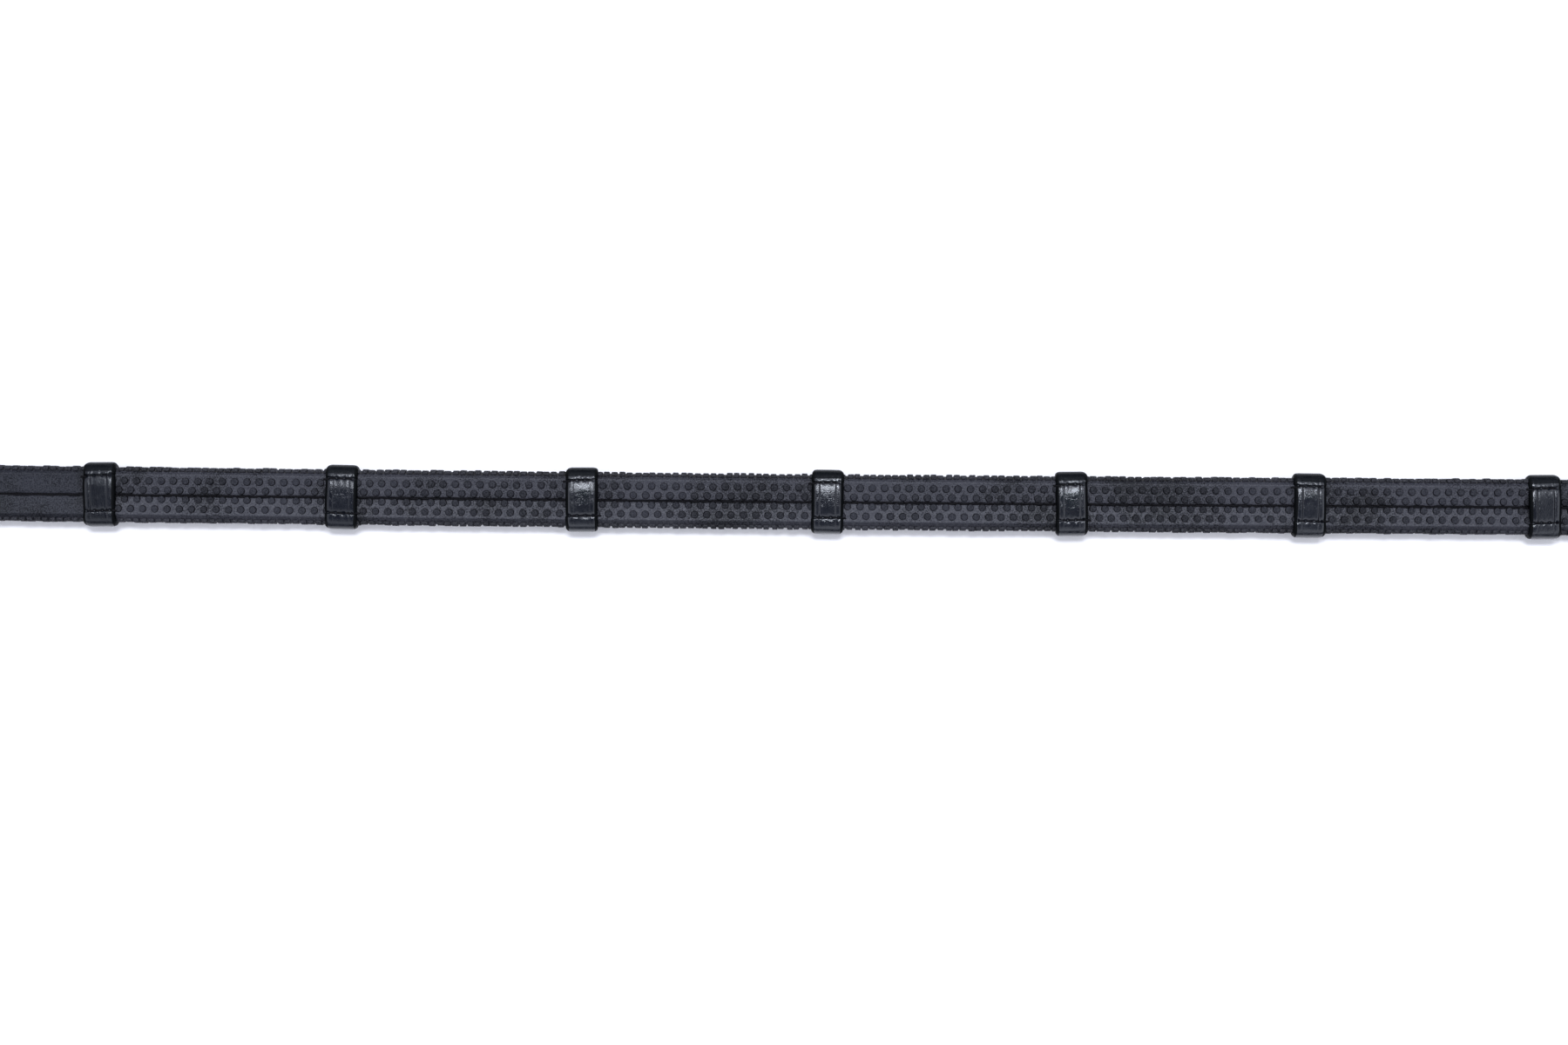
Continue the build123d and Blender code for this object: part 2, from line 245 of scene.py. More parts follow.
def rounded_loop(hw, hh, r, per_side=10, per_corner=6):
    """Points (y, z) round a rounded rectangle, anticlockwise from the middle of the right side."""
    pts = []
    corners = [
        (hw - r, hh - r, 0),
        (-hw + r, hh - r, 90),
        (-hw + r, -hh + r, 180),
        (hw - r, -hh + r, 270),
    ]
    for i, (cy, cz, a0) in enumerate(corners):
        for k in range(per_corner + 1):
            a = math.radians(a0 + 90 * k / per_corner)
            pts.append((cy + r * math.cos(a), cz + r * math.sin(a)))
        ny, nz, na = corners[(i + 1) % 4]
        a = math.radians(a0 + 90)
        p = np.array((cy + r * math.cos(a), cz + r * math.sin(a)))
        b = math.radians(na)
        q = np.array((ny + r * math.cos(b), nz + r * math.sin(b)))
        for k in range(1, per_side):
            pts.append(tuple(p + (q - p) * k / per_side))
    return np.array(pts)


# ------------------------------------------------------------------ materials
def node(nt, kind, **values):
    n = nt.nodes.new(kind)
    for k, v in values.items():
        if k in n.inputs:
            n.inputs[k].default_value = v
        else:
            setattr(n, k, v)
    return n


def ramp(nt, source, stops):
    r = nt.nodes.new("ShaderNodeValToRGB")
    cr = r.color_ramp
    while len(cr.elements) > 1:
        cr.elements.remove(cr.elements[-1])
    for i, (pos, col) in enumerate(stops):
        e = cr.elements[0] if i == 0 else cr.elements.new(pos)
        e.position = pos
        e.color = (*col, 1.0) if len(col) == 3 else col
    nt.links.new(source, r.inputs[0])
    return r.outputs["Color"]


def base_material(name):
    m = bpy.data.materials.new(name)
    m.use_nodes = True
    nt = m.node_tree
    bsdf = nt.nodes["Principled BSDF"]
    co = nt.nodes.new("ShaderNodeTexCoord")
    return m, nt, bsdf, co.outputs["Object"]


def rubber_material(name, dark, light, rough, shine, speck=0.62):
    m, nt, bsdf, co = base_material(name)
    big = node(nt, "ShaderNodeTexNoise", Scale=55.0, Detail=3.0, Roughness=0.55)
    nt.links.new(co, big.inputs["Vector"])
    fine = node(nt, "ShaderNodeTexNoise", Scale=2300.0, Detail=2.0, Roughness=0.65)
    nt.links.new(co, fine.inputs["Vector"])
    mid = node(nt, "ShaderNodeTexNoise", Scale=700.0, Detail=4.0, Roughness=0.6)
    nt.links.new(co, mid.inputs["Vector"])
    mix = nt.nodes.new("ShaderNodeMath")
    mix.operation = "MULTIPLY_ADD"
    nt.links.new(fine.outputs["Fac"], mix.inputs[0])
    mix.inputs[1].default_value = speck
    nt.links.new(big.outputs["Fac"], mix.inputs[2])
    nt.links.new(
        ramp(nt, mix.outputs[0], [(0.37 + speck / 2, dark), (0.65 + speck / 2, light)]), bsdf.inputs["Base Color"]
    )
    nt.links.new(
        ramp(
            nt,
            mid.outputs["Fac"],
            [(0.3, (rough - 0.07,) * 3), (0.75, (rough + 0.1,) * 3)],
        ),
        bsdf.inputs["Roughness"],
    )
    nt.links.new(
        ramp(nt, fine.outputs["Fac"], [(0.36, (shine * 0.45,) * 3), (0.66, (shine * 1.6,) * 3)]),
        bsdf.inputs["Specular IOR Level"],
    )
    bsdf.inputs["Specular Tint"].default_value = (0.94, 0.97, 1.0, 1.0)
    b1 = node(nt, "ShaderNodeBump", Strength=0.9, Distance=0.00022)
    nt.links.new(fine.outputs["Fac"], b1.inputs["Height"])
    b2 = node(nt, "ShaderNodeBump", Strength=0.4, Distance=0.0002)
    nt.links.new(mid.outputs["Fac"], b2.inputs["Height"])
    nt.links.new(b1.outputs["Normal"], b2.inputs["Normal"])
    nt.links.new(b2.outputs["Normal"], bsdf.inputs["Normal"])
    return m


def leather_material(name, dark, light, rough, coat, grain=1500.0, depth=0.00003, shine=0.5, folds=0.00012):
    m, nt, bsdf, co = base_material(name)
    warp = node(nt, "ShaderNodeTexNoise", Scale=420.0, Detail=3.0)
    nt.links.new(co, warp.inputs["Vector"])
    add = nt.nodes.new("ShaderNodeVectorMath")
    add.operation = "MULTIPLY_ADD"
    nt.links.new(warp.outputs["Color"], add.inputs[0])
    add.inputs[1].default_value = (0.0012, 0.0012, 0.0012)
    nt.links.new(co, add.inputs[2])
    cells = node(nt, "ShaderNodeTexVoronoi", Scale=grain)
    cells.feature = "DISTANCE_TO_EDGE"
    nt.links.new(add.outputs[0], cells.inputs["Vector"])
    pebble = ramp(nt, cells.outputs["Distance"], [(0.0, (0, 0, 0)), (0.22, (1, 1, 1))])
    wrinkle = node(nt, "ShaderNodeTexNoise", Scale=260.0, Detail=5.0, Roughness=0.62)
    nt.links.new(co, wrinkle.inputs["Vector"])
    cloud = node(nt, "ShaderNodeTexNoise", Scale=70.0, Detail=4.0, Roughness=0.6)
    nt.links.new(co, cloud.inputs["Vector"])
    tone = nt.nodes.new("ShaderNodeMath")
    tone.operation = "MULTIPLY_ADD"
    nt.links.new(pebble, tone.inputs[0])
    tone.inputs[1].default_value = 0.3
    nt.links.new(cloud.outputs["Fac"], tone.inputs[2])
    nt.links.new(
        ramp(nt, tone.outputs[0], [(0.35, dark), (1.05, light)]), bsdf.inputs["Base Color"]
    )
    nt.links.new(
        ramp(
            nt,
            wrinkle.outputs["Fac"],
            [(0.3, (rough - 0.06,) * 3), (0.72, (rough + 0.12,) * 3)],
        ),
        bsdf.inputs["Roughness"],
    )
    bsdf.inputs["Coat Weight"].default_value = coat
    bsdf.inputs["Coat Roughness"].default_value = 0.22
    bsdf.inputs["Specular IOR Level"].default_value = shine
    bsdf.inputs["Specular Tint"].default_value = (0.92, 0.96, 1.0, 1.0)
    b1 = node(nt, "ShaderNodeBump", Strength=0.55, Distance=depth)
    nt.links.new(pebble, b1.inputs["Height"])
    b2 = node(nt, "ShaderNodeBump", Strength=0.35, Distance=folds)
    nt.links.new(wrinkle.outputs["Fac"], b2.inputs["Height"])
    nt.links.new(b1.outputs["Normal"], b2.inputs["Normal"])
    nt.links.new(b2.outputs["Normal"], bsdf.inputs["Normal"])
    return m


def thread_material(name, dark, light, rough=0.5):
    m, nt, bsdf, co = base_material(name)
    wave = node(nt, "ShaderNodeTexWave", Scale=900.0, Distortion=1.5)
    wave.bands_direction = "DIAGONAL"
    nt.links.new(co, wave.inputs["Vector"])
    nt.links.new(ramp(nt, wave.outputs["Fac"], [(0.1, dark), (0.9, light)]), bsdf.inputs["Base Color"])
    bsdf.inputs["Roughness"].default_value = rough
    bsdf.inputs["Specular IOR Level"].default_value = 0.08
    b = node(nt, "ShaderNodeBump", Strength=0.6, Distance=0.00008)
    nt.links.new(wave.outputs["Fac"], b.inputs["Height"])
    nt.links.new(b.outputs["Normal"], bsdf.inputs["Normal"])
    return m


def steel_material(name):
    m, nt, bsdf, co = base_material(name)
    scratch = node(nt, "ShaderNodeTexNoise", Scale=900.0, Detail=4.0, Roughness=0.7)
    nt.links.new(co, scratch.inputs["Vector"])
    haze = node(nt, "ShaderNodeTexNoise", Scale=160.0, Detail=3.0)
    nt.links.new(co, haze.inputs["Vector"])
    bsdf.inputs["Metallic"].default_value = 1.0
    nt.links.new(
        ramp(nt, haze.outputs["Fac"], [(0.3, (0.56, 0.56, 0.57)), (0.7, (0.70, 0.70, 0.70))]),
        bsdf.inputs["Base Color"],
    )
    nt.links.new(
        ramp(nt, scratch.outputs["Fac"], [(0.35, (0.12,) * 3), (0.7, (0.27,) * 3)]),
        bsdf.inputs["Roughness"],
    )
    b = node(nt, "ShaderNodeBump", Strength=0.12, Distance=0.00004)
    nt.links.new(scratch.outputs["Fac"], b.inputs["Height"])
    nt.links.new(b.outputs["Normal"], bsdf.inputs["Normal"])
    return m


rubber = rubber_material("rubber_cover", (0.0045, 0.0049, 0.0074), (0.0275, 0.0283, 0.0370), 0.47, 0.33, speck=1.0)
# Darker, less shiny copy of the cover rubber for the plain zone left of the first stop: painted shade where the light
# falls off to the left.
rubber_plain_painted_shade = rubber_material("rubber_plain_painted_shade", (0.0035, 0.004, 0.006), (0.0165, 0.0178, 0.0245), 0.50, 0.23, speck=0.8)
rubber_disc = rubber_material("rubber_pimple", (0.003, 0.0033, 0.0055), (0.016, 0.017, 0.0235), 0.60, 0.23)
# Near-black copy of the rubber, used on the walls of the seam groove and of the pimples: painted shade in these
# recesses.
rubber_painted_shade = rubber_material("rubber_recess_painted_shade", (0.0015, 0.0015, 0.002), (0.006, 0.006, 0.008), 0.75, 0.08)
# Darker, less shiny copy of the cover rubber for the edge ribs: painted shade on the ribs.
rib_rubber_painted_shade = rubber_material("rubber_ribs_painted_shade", (0.005, 0.005, 0.007), (0.017, 0.017, 0.023), 0.54, 0.28)
stop_leather = leather_material(
    "stop_leather", (0.0013, 0.0019, 0.004), (0.004, 0.0054, 0.0098), 0.135, 0.08, grain=1900.0, depth=0.00003, shine=0.55
)
# Near-black, matt copy of the stop leather for the band down each side of a stop: painted shade where the leather turns
# down to the rubber.
stop_edge_painted_shade = leather_material(
    "stop_leather_edge_painted_shade", (0.001, 0.0013, 0.0016), (0.003, 0.0036, 0.0042), 0.40, 0.0, grain=2200.0, shine=0.05
)
# Copy of the stop leather with less shine and coat, for stops 1 and 2: painted shade, a weaker highlight on the stops
# at the left end.
stop_dull_painted_shade = leather_material(
    "stop_leather_dull_painted_shade", (0.0013, 0.0019, 0.004), (0.004, 0.0054, 0.0098), 0.155, 0.05, grain=1900.0, depth=0.00003, shine=0.36
)
# Darker, matt copy of the stop leather for the strip beyond the upper stitching: painted shade where the leather turns
# over the top edge.
stop_turn_painted_shade = leather_material(
    "stop_leather_turn_painted_shade", (0.0013, 0.0019, 0.003), (0.003, 0.004, 0.006), 0.24, 0.0, grain=1900.0, shine=0.10
)
strap_leather = leather_material(
    "strap_leather", (0.004, 0.0042, 0.0055), (0.013, 0.0135, 0.0165), 0.34, 0.15, grain=1700.0
)
flesh_leather = leather_material(
    "strap_leather_flesh", (0.010, 0.009, 0.0085), (0.030, 0.026, 0.023), 0.72, 0.0, grain=2400.0, depth=0.00006
)
keeper_leather = leather_material(
    "keeper_leather", (0.003, 0.0033, 0.0045), (0.010, 0.0105, 0.013), 0.32, 0.15, grain=1900.0
)
thread = thread_material("waxed_thread", (0.0015, 0.0015, 0.002), (0.006, 0.006, 0.008), 0.65)
cord_mat = thread_material("tie_cord", (0.010, 0.010, 0.012), (0.032, 0.032, 0.036), 0.6)
steel = steel_material("stainless_steel")


# ------------------------------------------------------------------ leather ends
def spline_line(name, points):
    """Points down a NURBS spline whose control points are the route's, in mm."""
    data = bpy.data.curves.new(name, "CURVE")
    data.dimensions = "3D"
    data.resolution_u = 16
    s = data.splines.new("NURBS")
    s.points.add(len(points) - 1)
    for p, (x, z) in zip(s.points, points):
        p.co = (x, 0.0, z, 1.0)
    s.order_u = 3
    s.use_endpoint_u = True
    o = bpy.data.objects.new(name, data)
    mesh = bpy.data.meshes.new_from_object(o)
    line = np.array([v.co for v in mesh.vertices], float).reshape(-1, 3)
    bpy.data.meshes.remove(mesh)
    bpy.data.objects.remove(o)
    bpy.data.curves.remove(data)
    return line


def respaced(line, step):
    keep = np.concatenate([[True], np.linalg.norm(np.diff(line, axis=0), axis=1) > 1e-6])
    line = line[keep]
    along = np.concatenate([[0], np.cumsum(np.linalg.norm(np.diff(line, axis=0), axis=1))])
    at = np.linspace(0, along[-1], int(along[-1] / step) + 1)
    return np.stack([np.interp(at, along, line[:, k]) for k in range(3)], axis=1), at


BIT_ROUTE = [
    (-273.5, 4.0),
    (-308.5, 4.0),
    (-330.0, 1.5),
    (-345.0, 1.5),
    (-418.0, 1.5),
    (-432.0, 1.5),
    (-445.5, 2.6),
    (-468.5, 2.7),
    (-482.5, 4.2),
    (-487.5, 12.3),
    (-478.5, 18.0),
    (-465.5, 14.0),
    (-453.5, 6.0),
    (-440.0, 6.0),
    (-352.0, 6.0),
    (-338.4, 6.0),
    # round the eye for the bit ring
    (-332.44, 6.0),
    (-328.70, 9.49),
    (-328.34, 14.60),
    (-331.56, 18.58),
    (-336.63, 19.29),
    # the billet, back on the strap
    (-351.04, 9.25),
    (-364.0, 9.2),
    (-416.0, 9.2),
]
HAND_ROUTE = [
    (273.5, 4.0),
    (308.5, 4.0),
    (330.0, 1.5),
    (353.0, 1.7),
    (366.0, 2.6),
    (408.0, 2.7),
    (419.5, 4.2),
    (424.5, 12.3),
    (415.5, 18.0),
    (402.5, 14.0),
    (390.5, 6.0),
    (352.0, 5.9),
    (338.0, 8.0),
    (333.0, 16.0),
    (342.0, 22.0),
    (355.0, 17.5),
    (366.0, 9.3),
    (388.0, 9.4),
    (402.0, 18.6),
    (420.0, 23.4),
    (438.0, 19.6),
    (452.0, 8.4),
    (468.0, 6.0),
    (511.0, 6.0),
    (520.0, 7.78),
    # round the buckle's bar
    (525.28, 7.78),
    (527.08, 5.98),
    (527.08, 3.42),
    (525.28, 1.62),
    (519.0, 1.62),
    (511.0, 2.8),
    (474.0, 2.8),
]

COLS = np.array([-8.0, -7.82, -7.45, -7.0, -6.72, -6.44, -5.2, -3.6, -2.2, 0.0, 2.2, 3.6, 5.2, 6.44, 6.72, 7.0, 7.45, 7.82, 8.0])
TOP_H = np.array([0.95, 1.28, 1.45, 1.50, 1.36, 1.49, 1.50, 1.51, 1.52, 1.52, 1.52, 1.51, 1.50, 1.49, 1.36, 1.50, 1.45, 1.28, 0.95])
LOW_H = np.array([0.95, 1.30, 1.46, 1.49, 1.5, 1.5, 1.5, 1.5, 1.5, 1.5, 1.5, 1.5, 1.5, 1.5, 1.5, 1.49, 1.46, 1.30, 0.95])


def strap(name, line, at, grain_up, half_w, slots, materials, body, seed):
    """A flat strap along a line in the XZ plane. grain_up: +1 if the face to the left of the line is the grain side. slots: (start, end, half width) along the line. half_w: function of the distance along."""
    n, k = len(line), len(COLS)
    t = np.gradient(line, axis=0)
    t /= np.linalg.norm(t, axis=1)[:, None]
    up = np.stack([-t[:, 2], np.zeros(n), t[:, 0]], axis=1)  # to the left of the line
    wander = smooth_noise(n, 18, seed) * 0.07
    thick = 1 + smooth_noise(n, 14, seed + 1) * 0.012
    c_low, c_high = list(COLS).index(-2.2), list(COLS).index(2.2)
    ys = np.tile(COLS, (n, 1))
    for i in range(n):
        ys[i] *= half_w(at[i]) / STRAP_HALF_W
    mask = np.ones((n - 1, k - 1), bool)
    for start, end, hw in slots:
        inside = [i for i in range(n) if start <= at[i] <= end]
        for i in inside:
            d = min(at[i] - start, end - at[i])
            w = hw if d >= hw else math.sqrt(max(hw * hw - (hw - d) ** 2, 0.05))
            ys[i, c_low], ys[i, c_high] = -w, w
        for i in inside[:-1]:
            mask[i, c_low:c_high] = False
    top_h, low_h = (TOP_H, LOW_H) if grain_up > 0 else (LOW_H, TOP_H)
    top = np.zeros((n, k, 3))
    low = np.zeros((n, k, 3))
    for i in range(n):
        base = line[i] + np.array([0, wander[i], 0])
        top[i] = base + up[i] * (top_h * thick[i])[:, None] + np.array([0, 1, 0]) * ys[i][:, None]
        low[i] = base - up[i] * (low_h * thick[i])[:, None] + np.array([0, 1, 0]) * ys[i][:, None]
    verts = np.vstack([top.reshape(-1, 3), low.reshape(-1, 3)])
    off = n * k
    faces, slot_of = [], []
    top_m, low_m = (0, 1) if grain_up > 0 else (1, 0)

    def solid(i, j):
        return 0 <= i < n - 1 and 0 <= j < k - 1 and mask[i, j]

    for i in range(n - 1):
        for j in range(k - 1):
            if not mask[i, j]:
                continue
            a, b, c, d = i * k + j, i * k + j + 1, (i + 1) * k + j + 1, (i + 1) * k + j
            faces.append((a, b, c, d))
            slot_of.append(top_m)
            faces.append((off + d, off + c, off + b, off + a))
            slot_of.append(low_m)
            for (u, v), (di, dj) in (
                ((a, b), (-1, 0)),
                ((b, c), (0, 1)),
                ((c, d), (1, 0)),
                ((d, a), (0, -1)),
            ):
                if not solid(i + di, j + dj):
                    faces.append((u, off + u, off + v, v))
                    slot_of.append(2)
    used = np.unique([v for f in faces for v in f])
    remap = -np.ones(len(verts), int)
    remap[used] = np.arange(len(used))
    s = Soup()
    s.add(verts[used], [tuple(remap[list(f)]) for f in faces])
    s.slots = slot_of
    return s.build(name, materials, body, angle=38.0)


bit_line, bit_at = respaced(spline_line("bit_route", BIT_ROUTE), 0.8)
hand_line, hand_at = respaced(spline_line("hand_route", HAND_ROUTE), 0.8)
bit_len, hand_len = float(bit_at[-1]), float(hand_at[-1])


def along_at(line, at, x, part):
    """The distance along where a line passes x, within a share of its length."""
    lo, hi = int(part[0] * len(line)), int(part[1] * len(line))
    i = lo + int(np.abs(line[lo:hi, 0] - x).argmin())
    return float(at[i])


stud_at = along_at(bit_line, bit_at, STUD_X, (0.85, 1.0))


def bit_width(s):
    left = bit_len - s
    return 8.0 if left > 11.0 else max(1.6, 8.0 * math.sqrt(max(0.0, 1 - ((11.0 - left) / 11.6) ** 2)))


bar_at = along_at(hand_line, hand_at, BAR_X + 4.0, (0.8, 1.0))


def hand_width(s):
    left = hand_len - s
    return 8.0 if left > 4.0 else 8.0 - 0.5 * ((4.0 - left) / 4.0) ** 2


edge_leather = leather_material(
    "strap_leather_edge", (0.003, 0.003, 0.0035), (0.009, 0.009, 0.0095), 0.34, 0.2, grain=2400.0
)
strap_mats = [strap_leather, flesh_leather, edge_leather]
bit_strap = strap(
    "bit_end_strap_leather",
    bit_line,
    bit_at,
    -1,
    bit_width,
    [(stud_at - 5.0, stud_at + 5.0, 2.2)],
    strap_mats,
    "rein",
    11,
)
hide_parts("bit_end_strap")
hand_strap = strap(
    "hand_end_strap_leather",
    hand_line,
    hand_at,
    1,
    hand_width,
    [(bar_at - 15.5, bar_at + 15.5, 2.2)],
    strap_mats,
    "rein",
    23,
)
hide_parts("hand_end_strap")


# ------------------------------------------------------------------ rubber cover
def cover_section(groove, pucker):
    """Half of the cover's face from the seam outwards: (distance from the seam, z)."""
    return [
        (0.0, groove),
        (0.24, groove + 0.04),
        (0.42, 5.72 - pucker),
        (0.62, 5.90 - 0.8 * pucker),
        (0.95, 5.95 - 0.4 * pucker),
        (1.8, 6.03),
        (3.2, 6.18),
        (4.8, 6.36),
        (5.85, 6.49),
        (6.25, 6.56),
        (6.50, 6.62),
        (6.72, 6.58),
        (6.95, 6.44),
        (7.35, 6.10),
        (7.62, 5.80),
        (7.82, 5.72),
        (7.98, 5.38),
        (8.45, 5.22),
        (8.80, 4.95),
    ]


cover = Soup()
xs = np.arange(-GRIP_HALF + 1.2, GRIP_HALF - 1.1, SEAM_PITCH / 3)
stations = np.concatenate([[-GRIP_HALF, -GRIP_HALF + 0.25, -GRIP_HALF + 0.7], xs, [GRIP_HALF - 0.7, GRIP_HALF - 0.25, GRIP_HALF]])
SEAM_PHASE = 33.0  # a stitch starts here
seam_rng = random.Random(77)
seam_pull = [seam_rng.uniform(0.08, 0.40) for _ in range(211)]
seam_side = [seam_rng.uniform(-1, 1) for _ in range(211)]
seam_gape = [seam_rng.uniform(-0.2, 1) for _ in range(211)]
w1, w2 = smooth_noise(len(stations), 9, 31) * 0.05, smooth_noise(len(stations), 11, 32) * 0.05
rings = []
for i, x in enumerate(stations):
    phase = ((x - SEAM_PHASE) / SEAM_PITCH) % 1.0
    hole_no = int(round((x - SEAM_PHASE) / SEAM_PITCH)) % len(seam_pull)
    near_hole = math.exp(-((min(phase, 1 - phase) / 0.20) ** 2))
    half = cover_section(5.56, seam_pull[hole_no] * near_hole - 0.05 * (1 - near_hole))
    lip = 0.12 * seam_side[hole_no] * (1 - near_hole) - 0.22
    end = min(1.0, (GRIP_HALF - abs(x)) / 0.7)
    k = 1 - 0.10 * (1 - end) ** 2
    gape = 1 + 0.55 * seam_gape[hole_no] * (1 - near_hole)
    wide = lambda s: s * (gape if s < 0.8 else 1)
    top = [(-wide(s) + w1[i] * (s > 7) + lip * (s < 1.2), z) for s, z in reversed(half)]
    top += [(wide(s) + w2[i] * (s > 7) + lip * (s < 1.2), z) for s, z in half[1:]]
    top = [(y, z + 0.25 * max(0.0, min(-y, 6.5) - 1.0) / 5.5 * 0.62 * (-y < 6.9)) for y, z in top]
    ring = [(y, MID_Z + (z - MID_Z) * k) for y, z in top]
    ring.append((8.86, MID_Z))
    ring += [(y, MID_Z - (z - MID_Z) * k) for y, z in reversed(top)]
    ring.append((-8.86, MID_Z))
    rings.append([(x, y * (1 - 0.02 * (1 - end)), z) for y, z in ring])
cover.rings(rings)
around = len(rings[0])
for i in range(len(rings) - 1):
    # Left of the first stop the cover takes the darker plain-zone rubber: painted shade.
    if stations[i] < STOP_X[0]:
        for j in range(around):
            cover.slots[i * around + j] = 3
    # The faces of the seam groove, on both faces of the cover, take the near-black rubber: painted shade in the groove.
    for j in (16, 17, 18, 19, 54, 55, 56, 57):
        cover.slots[i * around + j] = 2

# pimples, in four rows on each face
pimples = Soup()
PIMPLE_ROWS = [(4.68, 33.60), (1.62, 31.57), (-1.56, 33.60), (-4.72, 31.57)]
FACE_Z = {4.68: 6.345, 1.62: 6.005, -1.56: 6.0, -4.72: 6.45}
for face in (1, -1):
    for row_y, phase in PIMPLE_ROWS:
        k0 = math.floor((-GRIP_HALF - phase) / PIMPLE_PITCH)
        for k in range(k0, k0 + 160):
            x = phase + k * PIMPLE_PITCH
            if x < STOP_X[0] + 3 or x > GRIP_HALF - 2.5:
                continue
            if min(abs(x - s) for s in STOP_X) < STOP_HALF - 1.6:
                continue
            y = row_y + rng.uniform(-0.05, 0.05)
            x += rng.uniform(-0.06, 0.06)
            r0 = 1.10 * rng.uniform(0.97, 1.03)
            h = 0.48 * rng.uniform(0.93, 1.05)
            z0 = FACE_Z[row_y]
            lean = 0.05 * (1 if row_y > 0 else -1)  # the top leans half as much as the face
            ring_list = []
            for rr, zz in ((1.19, -0.35), (1.17, 0.03), (1.02, h - 0.08), (0.94, h - 0.01), (0.72, h + 0.01)):
                ring_list.append(
                    [
                        (
                            x + r0 * rr * math.cos(a),
                            y + r0 * rr * math.sin(a),
                            MID_Z + face * (z0 + zz + lean * r0 * rr * math.sin(a) * 0.6 - MID_Z),
                        )
                        for a in np.linspace(0, 2 * math.pi, 16, endpoint=False)
                    ]
                )
            first = len(pimples.slots)
            pimples.rings(ring_list, slot=0)
            # The two lowest bands of each pimple's wall take the near-black rubber: painted shade as a dark outline
            # round each pimple.
            for j in range(first, first + 32):
                pimples.slots[j] = 1

# ribs of the edges, made of the two bonded sheets
RIB_PHASE = 31.0 + RIB_PITCH / 2
RIB = [
    (7.66, 5.5),
    (7.80, 5.86),
    (8.02, 6.10),
    (8.35, 6.22),
    (8.85, 6.20),
    (9.18, 6.02),
    (9.40, 5.6),
    (9.48, 5.0),
    (9.48, 4.25),
    (9.24, 4.0),
    (9.48, 3.75),
    (9.48, 3.0),
    (9.40, 2.4),
    (9.18, 1.98),
    (8.85, 1.80),
    (8.35, 1.78),
    (8.02, 1.90),
    (7.80, 2.14),
    (7.66, 2.5),
]
for sgn in (1, -1):
    k0 = math.ceil((-GRIP_HALF + 1.5 - RIB_PHASE) / RIB_PITCH)
    for k in range(k0, k0 + 240):
        x = RIB_PHASE + k * RIB_PITCH
        if x > GRIP_HALF - 1.2:
            break
        x += rng.uniform(-0.06, 0.06)
        half_x = 0.96 * rng.uniform(0.93, 1.05)
        long = rng.uniform(-0.28, 0.06)
        skew = rng.uniform(-0.22, 0.22)
        ring_list = []
        for dx, sh in (
            (-1.0, 0.85),
            (-0.93, 0.36),
            (-0.72, 0.04),
            (0.72, 0.04),
            (0.93, 0.36),
            (1.0, 0.85),
        ):
            ring = []
            for y, z in RIB:
                yy = y + long * (y > 8.6)
                yy = 8.2 + (yy - 8.2) * (1 - sh * 0.22) if y > 8.2 else yy
                zz = MID_Z + (z - MID_Z) * (1 - sh * 0.07)
                ring.append((x + dx * half_x + skew * (y - 8), sgn * yy, zz))
            ring_list.append(ring)
        # The ribs take the darker rib rubber (slot 1): painted shade.
        cover.rings(ring_list, slot=1)

cover_obj = cover.build("rubber_cover", [rubber, rib_rubber_painted_shade, rubber_painted_shade, rubber_plain_painted_shade], "rein", angle=48.0, bend=True)
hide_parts("rubber_grip_cover")
pimples_obj = pimples.build("rubber_cover_pimples", [rubber_disc, rubber_painted_shade], "rein", angle=48.0, bend=True)
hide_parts("rubber_grip_cover")

# ------------------------------------------------------------------ centre seam
seam = Soup()
for face in (1, -1):
    k0 = math.ceil((-GRIP_HALF + 2.5 - SEAM_PHASE) / SEAM_PITCH)
    for k in range(k0, k0 + 170):
        x0 = SEAM_PHASE + k * SEAM_PITCH
        x1 = x0 + SEAM_PITCH * 1.04
        if x1 > GRIP_HALF - 2.0:
            break
        dy = 0.12 + rng.uniform(-0.10, 0.12)
        off = -0.26 + rng.uniform(-0.16, 0.16)
        z = MID_Z + face * (5.58 + rng.uniform(-0.10, 0.10) - MID_Z)
        rr = capsule(
            (x0, off + dy, z), (x1, off - dy, z), 0.42 * rng.uniform(0.75, 1.15), sides=8, dip=rng.uniform(0.12, 0.30) * face
        )
        seam.rings(rr)
seam_obj = seam.build("centre_seam_stitches", [thread], "rein", angle=60, bend=True)
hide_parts("centre_seam_thread")


# ------------------------------------------------------------------ hand stops
TOP_LINE = [
    (10.70, 4.0),
    (10.62, 4.65),
    (10.47, 5.20),
    (10.25, 5.70),
    (9.95, 6.16),
    (9.60, 6.50),
    (9.20, 6.80),
    (8.80, 7.04),
    (8.25, 7.29),
    (7.85, 7.455),
    (7.50, 7.585),
    (7.22, 7.675),
    (6.95, 7.735),
    (6.80, 7.745),
    (6.66, 7.66),
    (6.52, 7.52),
    (6.30, 7.42),
    (6.12, 7.46),
    (5.92, 7.56),
    (5.64, 7.68),
    (5.1, 7.85),
    (4.2, 8.01),
    (3.0, 8.145),
    (1.5, 8.19),
    (0.0, 8.20),
    (-1.5, 8.19),
    (-3.0, 8.13),
    (-4.2, 8.01),
    (-4.8, 7.87),
    (-5.15, 7.68),
    (-5.4, 7.55),
    (-5.62, 7.62),
    (-5.80, 7.86),
    (-5.98, 7.93),
    (-6.8, 7.94),
    (-7.6, 7.87),
    (-8.5, 7.68),
    (-9.2, 7.32),
    (-9.86, 6.76),
    (-10.36, 6.02),
    (-10.68, 5.1),
    (-10.80, 4.0),
]
